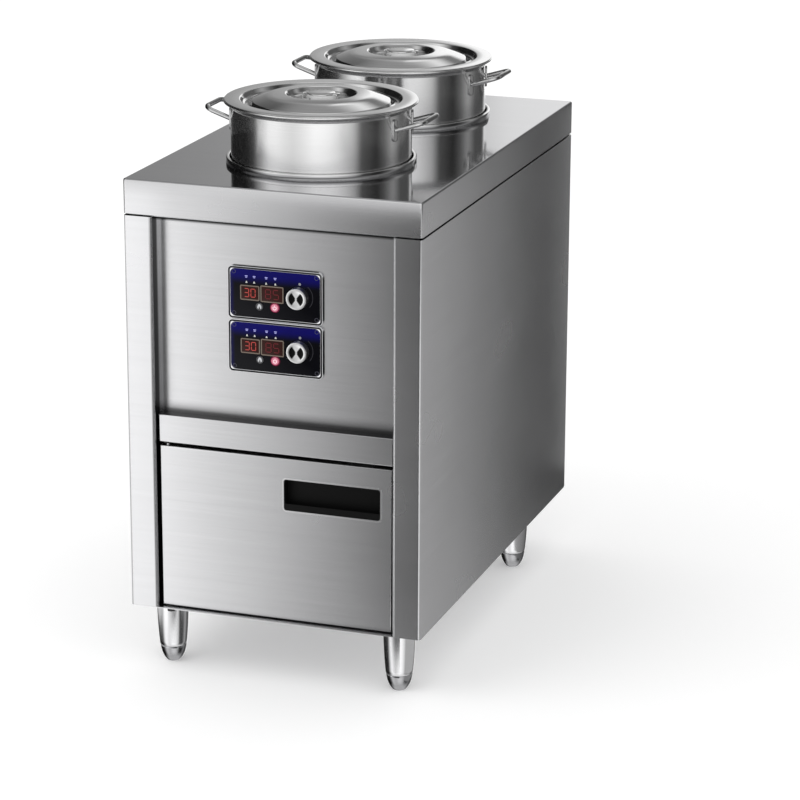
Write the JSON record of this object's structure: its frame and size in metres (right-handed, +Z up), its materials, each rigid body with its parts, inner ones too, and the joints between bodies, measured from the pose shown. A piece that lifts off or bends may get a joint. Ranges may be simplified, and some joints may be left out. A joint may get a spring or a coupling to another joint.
{
  "type": "soup station",
  "caption": "Free-standing stainless soup station: lidded pots in heated wells over a cabinet with control panel, cupboard door and adjustable feet.",
  "frame": {"origin": "on the floor, under the centre of the cabinet's footprint", "axes": "+X to the right seen from the front, +Y from the front to the back, +Z up"},
  "size_m": [0.48, 0.8, 0.8973],
  "materials": {
    "worktop_steel": "fine satin, almost mirror",
    "panel_steel": "brushed",
    "pot_steel": "bright polished",
    "leg_chrome": "polished",
    "foot_steel": "satin",
    "hardware_steel": "plain",
    "hob_glass": "black, polished",
    "coil_copper": "enamelled winding",
    "inner_plastic": "moulded",
    "heat_sink_aluminium": "extruded",
    "fan_plastic": "moulded",
    "bezel_silver": "silver, satin",
    "face_black": "gloss, dark blue to black",
    "board_green": "lacquered",
    "window_smoke": "smoked",
    "knob_metal": "turned and polished",
    "key_grey": "satin",
    "key_red": "translucent, lit",
    "pull_black": "moulded",
    "trim_bright": "bright",
    "bush_nylon": "natural",
    "gland_black": "moulded",
    "terminal_white": "moulded"
  },
  "bodies": {
    "cabinet": {"worktop": "worktop_steel", "front_well": "pot_steel", "rear_well": "pot_steel", "front_well_collar": "pot_steel", "rear_well_collar": "pot_steel", "hob_glasses": "hob_glass", "induction_coils": "coil_copper", "coil_carriers": "inner_plastic", "power_units": "heat_sink_aluminium", "fan_frames": "fan_plastic", "control_bezels": "bezel_silver", "control_faces": "face_black", "control_boards": "board_green", "display_windows": "window_smoke", "door_hinge_bushes": "bush_nylon", "cable_gland": "gland_black", "terminal_block": "terminal_white", "leg_nuts": "hardware_steel", "back_panel_screws": "hardware_steel", "door_magnet_catch": "hardware_steel", "left_underframe_rail": "panel_steel", "right_underframe_rail": "panel_steel", "front_crossmember": "panel_steel", "rear_crossmember": "panel_steel", "left_side_panel": "panel_steel", "right_side_panel": "panel_steel", "back_panel": "panel_steel", "bottom_panel": "panel_steel", "divider_shelf": "panel_steel", "mid_rail": "panel_steel", "control_fascia": "panel_steel", "front_left_leg": "leg_chrome", "front_right_leg": "leg_chrome", "rear_left_leg": "leg_chrome", "rear_right_leg": "leg_chrome"},
    "door": {"door_skin": "panel_steel", "door_liner": "panel_steel", "door_pull": "pull_black", "door_pull_trim": "trim_bright", "door_hinge_pins": "hardware_steel"},
    "front_pot_set": {"front_pot": "pot_steel", "front_pot_handles": "pot_steel"},
    "rear_pot_set": {"rear_pot": "pot_steel", "rear_pot_handles": "pot_steel"},
    "front_lid_set": {"front_lid": "pot_steel", "front_lid_handle": "pot_steel"},
    "rear_lid_set": {"rear_lid": "pot_steel", "rear_lid_handle": "pot_steel"},
    "upper_dial": {"upper_dial_knob": "knob_metal"},
    "lower_dial": {"lower_dial_knob": "knob_metal"},
    "upper_function_button": {"upper_function_key": "key_grey"},
    "lower_function_button": {"lower_function_key": "key_grey"},
    "upper_power_button": {"upper_power_key": "key_red"},
    "lower_power_button": {"lower_power_key": "key_red"},
    "left_fan": {"left_fan_rotor": "fan_plastic"},
    "right_fan": {"right_fan_rotor": "fan_plastic"},
    "front_left_glide": {"front_left_foot": "foot_steel"},
    "front_right_glide": {"front_right_foot": "foot_steel"},
    "rear_left_glide": {"rear_left_foot": "foot_steel"},
    "rear_right_glide": {"rear_right_foot": "foot_steel"}
  },
  "joints": [
    {"name": "door_swing", "type": "hinge", "parent": "cabinet", "child": "door", "pos_m": [-0.1795, -0.382, 0.237], "axis": [0, 0, -1], "range_deg": [0, 100]},
    {"name": "front_pot_lift", "type": "slide", "parent": "cabinet", "child": "front_pot_set", "axis": [0, 0, 1], "range_m": [0, 0.24]},
    {"name": "front_lid_lift", "type": "slide", "parent": "front_pot_set", "child": "front_lid_set", "axis": [0, 0, 1], "range_m": [0, 0.15]},
    {"name": "rear_pot_lift", "type": "slide", "parent": "cabinet", "child": "rear_pot_set", "axis": [0, 0, 1], "range_m": [0, 0.24]},
    {"name": "rear_lid_lift", "type": "slide", "parent": "rear_pot_set", "child": "rear_lid_set", "axis": [0, 0, 1], "range_m": [0, 0.15]},
    {"name": "upper_dial_turn", "type": "hinge", "parent": "cabinet", "child": "upper_dial", "pos_m": [0.0356, -0.382, 0.6219], "axis": [0, 1, 0], "range_deg": [0, 270]},
    {"name": "upper_function_press", "type": "slide", "parent": "cabinet", "child": "upper_function_button", "axis": [0, 1, 0], "range_m": [0, 0.0008], "stiffness_N_per_m": 600, "springref_m": -0.001},
    {"name": "upper_power_press", "type": "slide", "parent": "cabinet", "child": "upper_power_button", "axis": [0, 1, 0], "range_m": [0, 0.0008], "stiffness_N_per_m": 600, "springref_m": -0.001},
    {"name": "lower_dial_turn", "type": "hinge", "parent": "cabinet", "child": "lower_dial", "pos_m": [0.0356, -0.382, 0.5379], "axis": [0, 1, 0], "range_deg": [0, 270]},
    {"name": "lower_function_press", "type": "slide", "parent": "cabinet", "child": "lower_function_button", "axis": [0, 1, 0], "range_m": [0, 0.0008], "stiffness_N_per_m": 600, "springref_m": -0.001},
    {"name": "lower_power_press", "type": "slide", "parent": "cabinet", "child": "lower_power_button", "axis": [0, 1, 0], "range_m": [0, 0.0008], "stiffness_N_per_m": 600, "springref_m": -0.001},
    {"name": "front_left_foot_wind", "type": "slide", "parent": "cabinet", "child": "front_left_glide", "axis": [0, 0, -1], "range_m": [0, 0.025]},
    {"name": "front_right_foot_wind", "type": "slide", "parent": "cabinet", "child": "front_right_glide", "axis": [0, 0, -1], "range_m": [0, 0.025]},
    {"name": "rear_left_foot_wind", "type": "slide", "parent": "cabinet", "child": "rear_left_glide", "axis": [0, 0, -1], "range_m": [0, 0.025]},
    {"name": "rear_right_foot_wind", "type": "slide", "parent": "cabinet", "child": "rear_right_glide", "axis": [0, 0, -1], "range_m": [0, 0.025]},
    {"name": "left_fan_spin", "type": "hinge", "parent": "cabinet", "child": "left_fan", "pos_m": [-0.095, 0.38, 0.56], "axis": [0, 1, 0], "continuous": true},
    {"name": "right_fan_spin", "type": "hinge", "parent": "cabinet", "child": "right_fan", "pos_m": [0.095, 0.38, 0.56], "axis": [0, 1, 0], "continuous": true}
  ]
}
